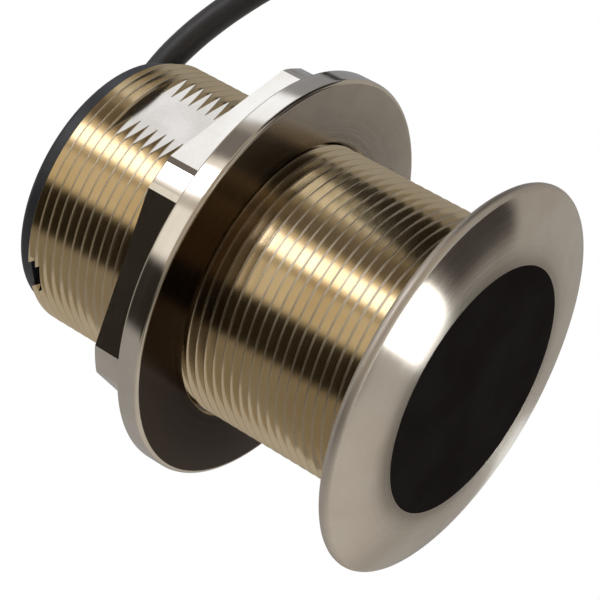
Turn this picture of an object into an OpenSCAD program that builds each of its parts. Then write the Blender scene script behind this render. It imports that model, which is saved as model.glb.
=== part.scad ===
// Through-hull sonar transducer: a bronze housing with a threaded stem, clamped to a hull by a flanged
// hexagon nut. It stands on its acoustic face. The stem runs along +Z and the cable leaves the rear cap
// towards +X. All sizes are in millimetres.

/* [Housing] */
// Outside diameter of the mounting flange
flange_d = 80.2; // [74:0.1:96]
// Height from the acoustic face to the back of the flange
flange_h = 5.4; // [5:0.1:10]
// Radius of the rounded flange edge
flange_edge_r = 1.3; // [0.8:0.1:2.2]
// Diameter of the opening for the acoustic window
face_d = 51.2; // [48:0.1:54]
// Depth of the window's recess
recess_h = 5; // [3:0.1:5.4]
// Height from the acoustic face to the rear rim of the stem
stem_h = 86; // [80:0.5:110]
// Wall between the thread's crest and the bore
stem_wall = 5.1; // [4:0.1:6]

/* [Thread] */
// Outside diameter of the stem's thread
thread_d = 57.15; // [55:0.05:60]
// Distance from one thread to the next
thread_pitch = 2.12; // [1.5:0.01:3]
// Width of the flat on top of each thread
thread_crest = 0.3; // [0.15:0.01:0.4]
// Width of the flat at the bottom of each groove
thread_root = 0.5; // [0.2:0.01:0.7]
// Plain land between the flange and the first thread
land_h = 1.6; // [1:0.1:4]
// Height of the plain land above the thread's crest
land_rise = 0.1; // [0.05:0.01:0.15]
// Chamfer on the thread at the rear rim
rim_chamfer = 0.8; // [0.3:0.1:1.1]

/* [Wrench flats and notch] */
// Depth of each wrench flat below the thread's crest
flat_depth = 1.9; // [1.5:0.1:2.5]
// Length of each wrench flat along the stem
flat_l = 25.4; // [16:0.1:30]
// Distance from the rear rim to the end of the wrench flats
flat_rim_gap = 6.6; // [4:0.1:12]
// Direction that the first wrench flat faces, from +X
flat_angle = -51.5; // [-90:0.5:90]
// Width of the notch in the rear rim
notch_w = 6.5; // [3:0.1:10]
// Depth of the notch along the stem
notch_h = 3; // [1:0.1:5]
// Direction of the notch from +X
notch_angle = -144; // [-180:1:180]

/* [Hull nut] */
// Outside diameter of the nut's disc
nut_disc_d = 84; // [79:0.1:96]
// Thickness of the nut's disc
nut_disc_h = 4.7; // [3:0.1:8]
// Distance across the hexagon's flats
nut_hex_w = 69.85; // [68:0.05:76]
// Diameter that the hexagon's corners are turned to
nut_corner_d = 77.5; // [74:0.1:79]
// Height of the hexagon behind the disc
nut_hex_h = 8.5; // [6:0.1:14]
// Chamfer on the front edge of the disc
nut_front_chamfer = 0.8; // [0.3:0.1:1.5]
// Chamfer on the other edges of the nut
nut_back_chamfer = 0.4; // [0.2:0.1:1]
// Countersink at each end of the nut's bore
nut_countersink = 1.2; // [0.5:0.1:2]
// Space for the hull between the flange and the nut
nut_gap = 40.4; // [30:0.1:45]
// Direction that one side of the hexagon faces, from +X
nut_angle = -50.8; // [-90:0.1:90]

/* [Sounding element] */
// Tilt of the element, which makes up for the slope of the hull
element_tilt = 12; // [0:1:14]
// Height of the tilted seat above the acoustic face, on the axis
wedge_h = 12; // [10:0.1:16]
// Diameter of the ceramic element
element_d = 31; // [24:0.5:32]
// Thickness of the ceramic element
element_h = 9; // [6:0.1:10]
// Wall of the isolating sleeve round the element
sleeve_wall = 2.4; // [1.5:0.1:2.6]
// Thickness of the cork pad behind the element
pad_h = 3.6; // [2:0.1:5]
// Diameter of each element lead
lead_d = 1.4; // [0.8:0.1:2]
// Distance between the two element leads
lead_spacing = 14; // [8:0.5:20]
// Diameter of the temperature sensor
sensor_d = 2.6; // [2:0.1:3]
// Length of the temperature sensor
sensor_l = 7; // [4:0.1:8]
// Thickness of window left in front of the temperature sensor
sensor_skin = 2; // [1:0.1:3]
// Wall of bore left outside the temperature sensor
sensor_margin = 1.2; // [0.8:0.1:2]
// Diameter of each sensor lead
sensor_lead_d = 0.8; // [0.5:0.1:1]

/* [Electronics] */
// Height of the underside of the circuit board
board_z = 38; // [36:0.5:46]
// Thickness of the circuit board
board_h = 1.6; // [1:0.1:2.4]
// Gap between the circuit board and the bore
board_gap = 1.6; // [0.8:0.1:3]
// Outside diameter of the transformer's ferrite core
core_d = 22; // [18:0.5:26]
// Height of the ferrite core
core_h = 14; // [10:0.5:18]
// Thickness of the ferrite core's outer wall and end plates
core_wall = 2.2; // [1.5:0.1:3]
// Diameter of the ferrite core's middle post
core_post_d = 9; // [6:0.5:10]
// Wall of the bobbin that carries the winding
bobbin_wall = 0.7; // [0.4:0.1:1]
// Length of the identity chip on the board
chip_l = 6; // [4:0.1:8]
// Width of the identity chip
chip_w = 4; // [3:0.1:5]
// Height of the identity chip
chip_h = 1.7; // [1:0.1:2.5]
// Length of each tuning resistor
resistor_l = 6.4; // [4:0.1:8]
// Diameter of each tuning resistor
resistor_d = 2.2; // [1.5:0.1:3]
// Gap between the ferrite core and the parts beside it
core_side_gap = 2; // [1:0.1:3]
// Diameter of each insulated core of the cable
cable_core_d = 1.5; // [1:0.1:1.8]

/* [Rear cap] */
// Diameter of the cap's head on the rear rim
cap_d = 54; // [50:0.1:54.4]
// Height of the cap's head above the rear rim
cap_h = 3.4; // [2:0.1:6]
// Rounding of the cap's edge
cap_edge_r = 1.2; // [0.4:0.1:1.6]
// Depth of the cap's plug in the bore
cap_plug_h = 8; // [4:0.1:14]
// Diameter of the turret that the cable leaves from
turret_d = 15; // [13:0.1:18]
// Height of the turret above the cap's head
turret_h = 11.4; // [11:0.1:14]
// Rounding of the turret's top
turret_edge_r = 3.4; // [1:0.1:4]
// Height of the cable's axis above the cap's head
exit_h = 7; // [6:0.1:8]

/* [Cable] */
// Outside diameter of the cable
cable_d = 6; // [5:0.1:7]
// Length of the strain relief along the cable
relief_l = 18; // [14:0.5:24]
// Length of the strain relief's shank inside the turret
relief_shank_l = 7; // [4:0.5:9]
// Diameter of the strain relief's shank and of its thick end
relief_d = 8.4; // [7.5:0.1:9]
// Wall of the strain relief where the cable leaves it
relief_tip_wall = 0.6; // [0.3:0.1:1]
// Downward tilt of the strain relief
relief_tilt = 4; // [0:1:10]
// Turns in each layer of the coil
coil_turns = 4; // [3:1:6]
// Layers in the coil
coil_layers = 8; // [4:2:10]
// Radius of the coil's outer turn
coil_turn_r = 57; // [52:0.5:64]
// Distance from the stem's axis to the middle of the coil, along X
coil_x = 132; // [120:1:150]
// Sideways shift of the cable on its way to the coil
run_shift = 23; // [0:1:30]
// Length of the cable from the coil to the connector
tail_l = 34; // [26:1:60]
// Width of each tie round the coil
tie_w = 12; // [6:0.5:20]
// Thickness of each tie
tie_h = 1.2; // [0.8:0.1:2]

/* [Connector] */
// Length of the tapered boot behind the connector
boot_l = 13; // [8:0.5:20]
// Diameter of the boot where it meets the connector's body
boot_d = 12; // [9:0.1:14]
// Length of the connector's body
plug_l = 15; // [10:0.5:24]
// Diameter of the connector's body
plug_d = 15.4; // [14:0.1:16]
// Length of the coupling ring
ring_l = 14; // [10:0.5:20]
// Outside diameter of the coupling ring
ring_d = 19; // [18.5:0.1:22]
// Wall of the coupling ring
ring_wall = 4.3; // [3.5:0.1:5]
// Plain collar at the back of the coupling ring
ring_collar_l = 2; // [1:0.1:4]
// Depth of the contact insert below the coupling ring's front
insert_depth = 1; // [0.2:0.1:2]
// Chamfer at the back of the connector's body
plug_chamfer = 1.2; // [0.4:0.1:1.6]
// Number of grip flutes round the coupling ring
ring_flutes = 20; // [8:1:32]
// Depth of each grip flute
flute_h = 0.6; // [0.3:0.1:0.9]
// Diameter of each contact
contact_d = 1.6; // [1:0.1:2]
// Diameter of the circle of contacts
contact_circle_d = 7.6; // [6.5:0.1:9]
// Number of contacts round the circle
contact_count = 6; // [3:1:8]

/* [Clearances] */
// Running clearance between the nut's bore and the thread's crest
thread_clearance = 0.3; // [0.2:0.05:0.5]
// Gap between the coil and its ties
tie_clearance = 0.2; // [0.1:0.05:0.5]
// Gap between cast-in or bonded pieces
bond_gap = 0.1; // [0.05:0.01:0.2]

/* [Hidden] */
$fn = 96;

// Overlap that keeps cuts clean
eps = 0.5;

// Housing
flange_r = flange_d / 2;
face_r = face_d / 2;
crest_r = thread_d / 2;
flank_h = (thread_pitch - thread_crest - thread_root) / 2;
root_r = crest_r - flank_h * tan(60);
bore_r = crest_r - stem_wall;
land_r = crest_r + land_rise;
thread_z = flange_h + land_h;
thread_count = ceil((stem_h - thread_z) / thread_pitch);
thread_end_z = thread_z + thread_count * thread_pitch;
flat_z = stem_h - flat_rim_gap - flat_l;
edge_centre = [flange_r - flange_edge_r, flange_h - flange_edge_r];
// The crowned ring starts flush with the acoustic face and runs into the rounded edge
crown_w = edge_centre[0] - face_r;
crown_rise = edge_centre[1];
crown_r = (pow(crown_w, 2) + pow(crown_rise, 2) - pow(flange_edge_r, 2)) / (2 * (crown_rise - flange_edge_r));
crown_centre = [face_r, crown_r];
crown_end = arc_angle(crown_centre, edge_centre);
arc_steps = 10;
edge_step = (90 - crown_end) / arc_steps;

// Hull nut
nut_z = flange_h + nut_gap;
nut_hex_z = nut_z + nut_disc_h;
nut_top_z = nut_hex_z + nut_hex_h;
nut_bore_r = crest_r + thread_clearance;

// Sounding element, along the tilted axis from its seat
stack_r = element_d / 2 + sleeve_wall;
pad_z = element_h + bond_gap;
sensor_r = bore_r - sensor_margin - sensor_d / 2;
sensor_top_z = sensor_skin + sensor_l;
sensor_lead_gap = sensor_d / 2;

// Electronics
board_r = bore_r - board_gap;
board_top_z = board_z + board_h;
core_window_r = core_d / 2 - core_wall;
core_window_h = core_h - 2 * core_wall;
core_place_r = core_d / 2 + core_side_gap + cable_core_d / 2;
core_places = [for (a = [45 : 90 : 315]) core_place_r * [cos(a), sin(a)]];
chip_y = -(core_d / 2 + core_side_gap + chip_w / 2);
resistor_y = core_d / 2 + core_side_gap + resistor_d / 2;
resistor_x = (resistor_l + core_side_gap) / 2;

// Rear cap and cable exit
cap_z = stem_h + cap_h;
plug_z = stem_h - cap_plug_h;
exit_y = 2;
exit_z = cap_z + exit_h;
relief_tip_r = cable_d / 2 + relief_tip_wall;

// Cable: the run from the strain relief to the top layer of the coil, and the tail to the connector
cable_r = cable_d / 2;
coil_z = tie_h + tie_clearance;
coil_h = coil_layers * cable_d;
coil_outer_r = coil_turn_r + cable_r;
coil_inner_r = coil_outer_r - coil_turns * cable_d;
coil_centre = [coil_x, exit_y + run_shift - coil_turn_r];
straight_l = 2;
cord_steps = 18;
run_axis = [cos(relief_tilt), 0, -sin(relief_tilt)];
run_start = [0, exit_y, exit_z] + relief_l * run_axis;
run_bend = run_start + straight_l * run_axis;
run_span = coil_x - run_bend[0];
run_drop = coil_z + coil_h - cable_r - run_bend[2];
run_points = concat([run_start], [
    for (i = [0 : cord_steps]) let (t = i / cord_steps)
        run_bend + [
            run_span * t, run_shift * ease(t), run_drop * ease(t) - tan(relief_tilt) * run_span * t * pow(1 - t, 2)
        ]
]);
ring_r = ring_d / 2;
ring_ground_gap = 0.1;
tail_steps = 8;
tail_start = [coil_x, coil_centre[1] - coil_turn_r, coil_z + cable_r];
tail_rise = ring_r + ring_ground_gap - tail_start[2];
plug_start = tail_start + [-tail_l, 0, tail_rise];
tail_points = concat([
    for (i = [0 : tail_steps]) let (t = i / tail_steps)
        tail_start + [-(tail_l - straight_l) * t, 0, tail_rise * ease(t)]
], [plug_start]);
cable_sides = 10;

// Connector, along -X from the end of the tail
boot_tip_r = cable_r + relief_tip_wall;
plug_r = plug_d / 2;
ring_lip_r = ring_r - ring_wall;
insert_r = ring_lip_r - bond_gap;
insert_l = ring_l - insert_depth;

// Direction from a centre to a point
function arc_angle(c, p) = atan2(p[1] - c[1], p[0] - c[0]);

// Smooth step from 0 to 1
function ease(t) = t * t * (3 - 2 * t);

// Points along an arc
function arc_points(c, r, a0, a1, n) =
    [for (i = [0 : n]) let (a = a0 + (a1 - a0) * i / n) c + r * [cos(a), sin(a)]];

// Outline of a row of threads, from the first root to the last
function thread_points(z0, count) = [
    for (i = [0 : count - 1]) let (z = z0 + i * thread_pitch) each [
        [root_r, z], [crest_r, z + flank_h], [crest_r, z + flank_h + thread_crest],
        [root_r, z + 2 * flank_h + thread_crest]
    ]
];

// Unit direction of a route at one of its points
function route_dir(p, i) =
    let (d = p[min(i + 1, len(p) - 1)] - p[max(i - 1, 0)]) d / norm(d);

// Ring of points square to a route that is nowhere upright
function route_ring(p, i, r) =
    let (d = route_dir(p, i), c = cross([0, 0, 1], d), s = c / norm(c), n = cross(d, s))
    [for (k = [0 : cable_sides - 1]) let (a = 360 * k / cable_sides) p[i] + r * (cos(a) * s + sin(a) * n)];

// Tube along a route
module route_tube(p, r) {
    rings = len(p);
    points = [for (i = [0 : rings - 1]) each route_ring(p, i, r)];
    sides = [
        for (i = [0 : rings - 2], k = [0 : cable_sides - 1])
            let (a = i * cable_sides + k, b = i * cable_sides + (k + 1) % cable_sides)
            [a, b, b + cable_sides, a + cable_sides]
    ];
    first = [for (k = [cable_sides - 1 : -1 : 0]) k];
    last = [for (k = [0 : cable_sides - 1]) (rings - 1) * cable_sides + k];
    polyhedron(points, concat([first], sides, [last]));
}

// Everything below a level
module below(z) {
    translate([-flange_d, -flange_d, z - 2 * stem_h]) cube([2 * flange_d, 2 * flange_d, 2 * stem_h]);
}

// Places its children on the tilted seat of the element
module on_seat() {
    translate([0, 0, wedge_h]) rotate([0, element_tilt, 0]) children();
}

// Everything above the tilted seat
module above_seat(gap = 0) {
    on_seat() translate([-flange_d, -flange_d, gap]) cube([2 * flange_d, 2 * flange_d, 2 * stem_h]);
}

// Rod that stands up from a level
module rod(at, r, z0, z1) {
    translate([at[0], at[1], z0]) cylinder(r = r, h = z1 - z0);
}

// Outside of the housing, turned as one piece, with its thread cut off by the chamfered rear rim
module housing_blank() {
    rotate_extrude() intersection() {
        polygon(concat(
            [[0, 0]],
            arc_points(crown_centre, crown_r, -90, crown_end, arc_steps),
            arc_points(edge_centre, flange_edge_r, crown_end + edge_step, 90, arc_steps),
            [[land_r, flange_h], [land_r, thread_z]],
            thread_points(thread_z, thread_count),
            [[root_r, thread_end_z], [0, thread_end_z]]
        ));
        polygon([
            [0, -eps], [flange_d, -eps], [flange_d, thread_z], [crest_r + eps, thread_z],
            [crest_r + eps, stem_h - rim_chamfer - eps], [crest_r - rim_chamfer, stem_h], [0, stem_h]
        ]);
    }
}

// Housing: flange, threaded stem, two wrench flats and a notch in the rear rim
module housing() {
    color("#a8987c") difference() {
        housing_blank();
        translate([0, 0, -eps]) cylinder(r = face_r, h = recess_h + eps);
        cylinder(r = bore_r, h = stem_h + eps);
        for (a = [0, 180])
            rotate([0, 0, flat_angle + a]) translate([crest_r - flat_depth, -crest_r, flat_z])
                cube([2 * flat_depth, 2 * crest_r, flat_l]);
        rotate([0, 0, notch_angle]) translate([bore_r - stem_wall, -notch_w / 2, stem_h - notch_h])
            cube([3 * stem_wall, notch_w, notch_h + eps]);
    }
}

// Hull nut: a disc and a hexagon with turned corners, in one piece
module hull_nut() {
    disc_r = nut_disc_d / 2;
    corner_r = nut_corner_d / 2;
    color("#9c8f7c") difference() {
        union() {
            rotate_extrude() polygon([
                [0, nut_z], [disc_r - nut_front_chamfer, nut_z], [disc_r, nut_z + nut_front_chamfer],
                [disc_r, nut_hex_z - nut_back_chamfer], [disc_r - nut_back_chamfer, nut_hex_z], [0, nut_hex_z]
            ]);
            intersection() {
                translate([0, 0, nut_z + nut_disc_h / 2]) rotate([0, 0, nut_angle - 30])
                    cylinder(d = nut_hex_w / cos(30), h = nut_top_z - nut_z - nut_disc_h / 2, $fn = 6);
                rotate_extrude() polygon([
                    [0, nut_z], [corner_r, nut_z], [corner_r, nut_top_z - nut_back_chamfer],
                    [corner_r - nut_back_chamfer, nut_top_z], [0, nut_top_z]
                ]);
            }
        }
        translate([0, 0, nut_z - eps]) cylinder(r = nut_bore_r, h = nut_top_z - nut_z + 2 * eps);
        translate([0, 0, nut_z - eps])
            cylinder(r1 = nut_bore_r + nut_countersink + eps, r2 = nut_bore_r, h = nut_countersink + eps);
        translate([0, 0, nut_top_z - nut_countersink])
            cylinder(r1 = nut_bore_r, r2 = nut_bore_r + nut_countersink + eps, h = nut_countersink + eps);
    }
}

// Acoustic window: flush with the face, with the tilted seat at its back
module acoustic_window() {
    color("#1c1614") difference() {
        union() {
            cylinder(r = face_r - bond_gap, h = recess_h - bond_gap);
            cylinder(r = bore_r - bond_gap, h = wedge_h + bore_r);
        }
        above_seat();
        translate([0, -sensor_r, sensor_skin]) cylinder(d = sensor_d + 2 * bond_gap, h = wedge_h + bore_r);
    }
}

// Ceramic disc that makes and hears the sound
module piezo_element() {
    color("#d8d2c0") on_seat() translate([0, 0, bond_gap]) cylinder(d = element_d, h = element_h);
}

// Foam sleeve round the edge of the element
module isolator_sleeve() {
    color("#6b6f72") on_seat() translate([0, 0, bond_gap]) difference() {
        cylinder(r = stack_r, h = element_h);
        translate([0, 0, -eps]) cylinder(d = element_d + 2 * bond_gap, h = element_h + 2 * eps);
    }
}

// Holes or rods of the element's two leads, up to the circuit board
module lead_pair(r) {
    difference() {
        on_seat() for (s = [-1, 1])
            translate([0, s * lead_spacing / 2, pad_z + bond_gap]) cylinder(r = r, h = board_z);
        translate([-flange_d, -flange_d, board_z - bond_gap]) cube([2 * flange_d, 2 * flange_d, 2 * stem_h]);
    }
}

// Cork pad behind the element
module backing_pad() {
    color("#a9835a") difference() {
        on_seat() translate([0, 0, pad_z + bond_gap]) cylinder(r = stack_r - sleeve_wall / 2, h = pad_h);
        on_seat() for (s = [-1, 1])
            translate([0, s * lead_spacing / 2, 0]) cylinder(r = lead_d / 2 + bond_gap, h = board_z);
    }
}

// Two leads from the element to the circuit board
module element_leads() {
    color("#b03a2e") lead_pair(lead_d / 2);
}

// Temperature sensor in its well behind the window's skin
module temperature_sensor() {
    color("#20242c") rod([0, -sensor_r], sensor_d / 2, sensor_skin + bond_gap, sensor_top_z);
}

// Two leads from the temperature sensor to the circuit board
module sensor_leads() {
    color("#2e6fb0") for (s = [-1, 1])
        rod([s * sensor_lead_gap / 2, -sensor_r], sensor_lead_d / 2, sensor_top_z, board_z - bond_gap);
}

// Round circuit board
module circuit_board() {
    color("#2f6b3c") rod([0, 0], board_r, board_z, board_top_z);
}

// Identity chip on the circuit board
module identity_chip() {
    color("#17181a") translate([-chip_l / 2, chip_y - chip_w / 2, board_top_z]) cube([chip_l, chip_w, chip_h]);
}

// Two tuning resistors on the circuit board
module tuning_resistors() {
    color("#c9b48a") for (s = [-1, 1])
        translate([s * resistor_x - resistor_l / 2, resistor_y, board_top_z + resistor_d / 2])
            rotate([0, 90, 0]) cylinder(d = resistor_d, h = resistor_l);
}

// Ferrite pot core of the matching transformer
module transformer_core() {
    color("#3a3a3c") translate([0, 0, board_top_z]) difference() {
        cylinder(d = core_d, h = core_h);
        translate([0, 0, core_wall]) difference() {
            cylinder(r = core_window_r, h = core_window_h);
            cylinder(d = core_post_d, h = core_window_h);
        }
    }
}

// Bobbin round the core's middle post
module transformer_bobbin() {
    color("#d9d3c4") translate([0, 0, board_top_z + core_wall + bond_gap]) rotate_extrude() {
        inner = core_post_d / 2 + bond_gap;
        outer = core_window_r - bond_gap;
        tall = core_window_h - 2 * bond_gap;
        polygon([
            [inner, 0], [outer, 0], [outer, bobbin_wall], [inner + bobbin_wall, bobbin_wall],
            [inner + bobbin_wall, tall - bobbin_wall], [outer, tall - bobbin_wall], [outer, tall], [inner, tall]
        ]);
    }
}

// Copper winding on the bobbin
module transformer_winding() {
    inner = core_post_d / 2 + bobbin_wall + 2 * bond_gap;
    base = core_wall + bobbin_wall + 2 * bond_gap;
    color("#b5651d") translate([0, 0, board_top_z + base]) difference() {
        cylinder(r = core_window_r - 2 * bond_gap, h = core_h - 2 * base);
        translate([0, 0, -eps]) cylinder(r = inner, h = core_h);
    }
}

// Insulated cores of the cable, from the circuit board to the cap
module cable_cores() {
    color("#c8c8c8") for (p = core_places) rod(p, cable_core_d / 2, board_top_z, plug_z - bond_gap);
}

// Potting that fills the bore round everything cast into it
module potting_fill() {
    g = bond_gap;
    color("#2a2622") difference() {
        rod([0, 0], bore_r - g, 0, plug_z - g);
        difference() {
            below(wedge_h + 2 * bore_r);
            above_seat(g);
        }
        on_seat() cylinder(r = stack_r + g, h = element_h + 2 * g);
        on_seat() cylinder(r = stack_r - sleeve_wall / 2 + g, h = pad_z + pad_h + 2 * g);
        lead_pair(lead_d / 2 + g);
        rod([0, -sensor_r], sensor_d / 2 + g, 0, sensor_top_z + g);
        for (s = [-1, 1])
            rod([s * sensor_lead_gap / 2, -sensor_r], sensor_lead_d / 2 + g, 0, board_z);
        rod([0, 0], board_r + g, board_z - g, board_top_z + g);
        rod([0, 0], core_d / 2 + g, board_z, board_top_z + core_h + g);
        translate([-chip_l / 2 - g, chip_y - chip_w / 2 - g, board_z])
            cube([chip_l + 2 * g, chip_w + 2 * g, board_h + chip_h + g]);
        for (s = [-1, 1])
            translate([s * resistor_x - resistor_l / 2 - g, resistor_y - resistor_d / 2 - g, board_z])
                cube([resistor_l + 2 * g, resistor_d + 2 * g, board_h + resistor_d + g]);
        for (p = core_places) rod(p, cable_core_d / 2 + g, board_z, stem_h);
    }
}

// Places its children on the strain relief's axis, which runs along local +Z
module on_relief() {
    translate([0, exit_y, exit_z]) rotate([0, 90 + relief_tilt, 0]) children();
}

// Rear cap: a plug in the bore, a head on the rim and a turret that turns the cable sideways
module rear_cap() {
    color("#17181b") difference() {
        union() {
            rotate_extrude() polygon(concat(
                [[0, plug_z], [bore_r - bond_gap, plug_z], [bore_r - bond_gap, stem_h], [cap_d / 2, stem_h]],
                arc_points([cap_d / 2 - cap_edge_r, cap_z - cap_edge_r], cap_edge_r, 0, 90, arc_steps),
                [[0, cap_z]]
            ));
            translate([0, exit_y, 0]) rotate_extrude() polygon(concat(
                [[0, stem_h], [turret_d / 2, stem_h]],
                arc_points([turret_d / 2 - turret_edge_r, cap_z + turret_h - turret_edge_r], turret_edge_r,
                           0, 90, arc_steps),
                [[0, cap_z + turret_h]]
            ));
        }
        on_relief() cylinder(d = relief_d + 2 * bond_gap, h = relief_l);
    }
}

// Strain relief: a shank in the turret and a taper along the cable
module strain_relief() {
    color("#1b1c1f") on_relief() rotate_extrude() polygon([
        [0, bond_gap], [relief_d / 2, bond_gap], [relief_d / 2, relief_shank_l],
        [relief_tip_r, relief_l], [0, relief_l]
    ]);
}

// Cable from the strain relief to the coil
module cable_run() {
    color("#222326") route_tube(run_points, cable_r);
}

// Outer shape of the coiled cable
module cable_coil() {
    color("#222326") translate([coil_centre[0], coil_centre[1], coil_z]) rotate_extrude() {
        translate([coil_inner_r, cable_r]) square([coil_outer_r - coil_inner_r, coil_h - cable_d]);
        translate([coil_inner_r + cable_r, 0]) square([coil_outer_r - coil_inner_r - cable_d, coil_h]);
        for (r = [coil_inner_r + cable_r, coil_outer_r - cable_r], z = [cable_r, coil_h - cable_r])
            translate([r, z]) circle(r = cable_r);
    }
}

// Two ties round the coil
module coil_ties() {
    near_r = sqrt(pow(coil_inner_r, 2) - pow(tie_w / 2, 2)) - tie_clearance;
    inside = coil_outer_r + tie_clearance - near_r;
    tall = coil_z + coil_h + tie_clearance + tie_h;
    color("#101113") translate([coil_centre[0], coil_centre[1], 0]) for (a = [0, 180])
        rotate([0, 0, a]) translate([near_r, -tie_w / 2, 0]) difference() {
            translate([-tie_h, 0, 0]) cube([inside + 2 * tie_h, tie_w, tall]);
            translate([0, -eps, tie_h]) cube([inside, tie_w + 2 * eps, tall - 2 * tie_h]);
        }
}

// Cable from the coil to the connector
module cable_tail() {
    color("#222326") route_tube(tail_points, cable_r);
}

// Places its children on the connector's axis, which runs along local +Z
module on_plug(along = 0) {
    translate(plug_start - [along, 0, 0]) rotate([0, -90, 0]) children();
}

// Tapered boot behind the connector
module connector_boot() {
    color("#1b1c1f") on_plug() cylinder(r1 = boot_tip_r, r2 = boot_d / 2, h = boot_l);
}

// Connector's body
module connector_body() {
    color("#1d1e21") on_plug(boot_l) rotate_extrude() polygon([
        [0, 0], [plug_r - plug_chamfer, 0], [plug_r, plug_chamfer], [plug_r, plug_l], [0, plug_l]
    ]);
}

// Coupling ring with grip flutes
module coupling_ring() {
    color("#2a2b2f") on_plug(boot_l + plug_l) difference() {
        cylinder(r = ring_r, h = ring_l);
        translate([0, 0, -eps]) cylinder(r = ring_lip_r, h = ring_l + 2 * eps);
        for (i = [0 : ring_flutes - 1]) rotate([0, 0, 360 * (i + 0.5) / ring_flutes])
            translate([ring_r + flute_h, 0, ring_collar_l]) cylinder(r = 2 * flute_h, h = ring_l, $fn = 24);
    }
}

// Insert that holds the contacts
module contact_insert() {
    color("#3b3c40") on_plug(boot_l + plug_l) difference() {
        cylinder(r = insert_r, h = insert_l);
        for (i = [0 : contact_count - 1]) rotate([0, 0, 360 * i / contact_count])
            translate([contact_circle_d / 2, 0, insert_l / 2]) cylinder(d = contact_d + 2 * bond_gap, h = ring_l);
    }
}

// Contact sockets in the insert
module contact_sockets() {
    color("#d4af37") on_plug(boot_l + plug_l) for (i = [0 : contact_count - 1])
        rotate([0, 0, 360 * i / contact_count]) translate([contact_circle_d / 2, 0, insert_l / 2]) difference() {
            cylinder(d = contact_d, h = insert_l / 2 - bond_gap);
            translate([0, 0, contact_d]) cylinder(d = contact_d / 2, h = insert_l);
        }
}

housing();
hull_nut();
acoustic_window();
piezo_element();
isolator_sleeve();
backing_pad();
element_leads();
temperature_sensor();
sensor_leads();
circuit_board();
identity_chip();
tuning_resistors();
transformer_core();
transformer_bobbin();
transformer_winding();
cable_cores();
potting_fill();
rear_cap();
strain_relief();
cable_run();
cable_coil();
coil_ties();
cable_tail();
connector_boot();
connector_body();
coupling_ring();
contact_insert();
contact_sockets();
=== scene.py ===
"""Bronze through-hull sonar transducer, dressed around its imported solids.

Lengths are in metres, in the frame of the solids: the acoustic face stands on z = 0, the threaded stem
runs up +Z and the cable leaves the rear cap towards +X. Angles are in degrees.
"""

import logging
import math
from dataclasses import dataclass, field
from enum import Enum
from typing import Iterable, Sequence

import bmesh
import bpy
from mathutils import Matrix, Vector


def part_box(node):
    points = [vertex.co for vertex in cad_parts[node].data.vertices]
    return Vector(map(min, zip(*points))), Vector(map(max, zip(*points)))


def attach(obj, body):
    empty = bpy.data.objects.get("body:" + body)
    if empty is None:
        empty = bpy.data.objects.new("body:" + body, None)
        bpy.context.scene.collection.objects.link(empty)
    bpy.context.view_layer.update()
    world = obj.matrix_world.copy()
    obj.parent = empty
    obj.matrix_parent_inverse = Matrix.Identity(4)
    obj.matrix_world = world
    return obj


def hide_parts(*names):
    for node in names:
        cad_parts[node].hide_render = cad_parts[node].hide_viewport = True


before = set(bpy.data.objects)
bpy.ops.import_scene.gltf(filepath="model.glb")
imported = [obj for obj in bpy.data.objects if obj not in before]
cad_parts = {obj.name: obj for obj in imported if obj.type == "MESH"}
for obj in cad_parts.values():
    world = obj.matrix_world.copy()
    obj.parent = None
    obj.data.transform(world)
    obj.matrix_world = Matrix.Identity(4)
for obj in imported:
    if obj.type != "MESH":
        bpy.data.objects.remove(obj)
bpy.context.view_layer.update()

LOG = logging.getLogger("transducer")
MM = 0.001
# Radius under which a ring is one point on the axis
ON_AXIS = 1e-9
# How far a cutter, or a foot that is joined on, reaches past a surface
OVERCUT = 1.0 * MM
# Distance within which a face counts as lying on a surface
TOUCH = 0.01 * MM
# Clearance round a piece that is set into another
FIT_GAP = 0.1 * MM
# Angle from which an edge of a moulding stays sharp
MOULDED_CREASE = 32.0
# Results of a span that rises from 0 to 1, and of one that falls back
UNIT = (0.0, 1.0)
FALLING = (1.0, 0.0)

Point = tuple[float, float]
Colour = tuple[float, float, float]
Ring = list[bmesh.types.BMVert]


class Body(str, Enum):
    """Bodies of the solids that pieces ride on."""

    TRANSDUCER = "transducer"
    NUT = "nut"


class Surface(Enum):
    """Kinds of surface on the bronze housing."""

    TURNED = "turned"
    THREAD = "thread"
    CREST = "crest"
    EDGE = "edge"
    MILLED = "milled"


class Cut(str, Enum):
    """Ways to combine two closed meshes."""

    REMOVE = "DIFFERENCE"
    JOIN = "UNION"
    KEEP_COMMON = "INTERSECT"


class Target(str, Enum):
    """What a node tree is for, by the node that it ends with."""

    MATERIAL = "ShaderNodeOutputMaterial"
    SURROUNDINGS = "ShaderNodeOutputWorld"


# Mesh tools


def link_mesh(name: str, shell: bmesh.types.BMesh) -> bpy.types.Object:
    """Turns a finished shell into an object of the scene.

    Args:
        name: Name of the piece.
        shell: Closed shell, which is freed.

    Returns:
        The new object.
    """
    bmesh.ops.recalc_face_normals(shell, faces=shell.faces[:])
    mesh = bpy.data.meshes.new(name)
    shell.to_mesh(mesh)
    shell.free()
    piece = bpy.data.objects.new(name, mesh)
    bpy.context.scene.collection.objects.link(piece)
    return piece


def ring_of(shell: bmesh.types.BMesh, radius: float, height: float, count: int) -> Ring:
    """Adds a level ring of points round +Z.

    Args:
        shell: Shell that takes the points.
        radius: Radius of the ring, or 0 for a single point on the axis.
        height: Height of the ring.
        count: Points in the ring.

    Returns:
        The ring's points, which repeat one point on the axis.
    """
    if radius < ON_AXIS:
        return [shell.verts.new((0.0, 0.0, height))] * count
    turns = (math.tau * i / count for i in range(count))
    return [shell.verts.new((radius * math.cos(a), radius * math.sin(a), height)) for a in turns]


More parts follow.
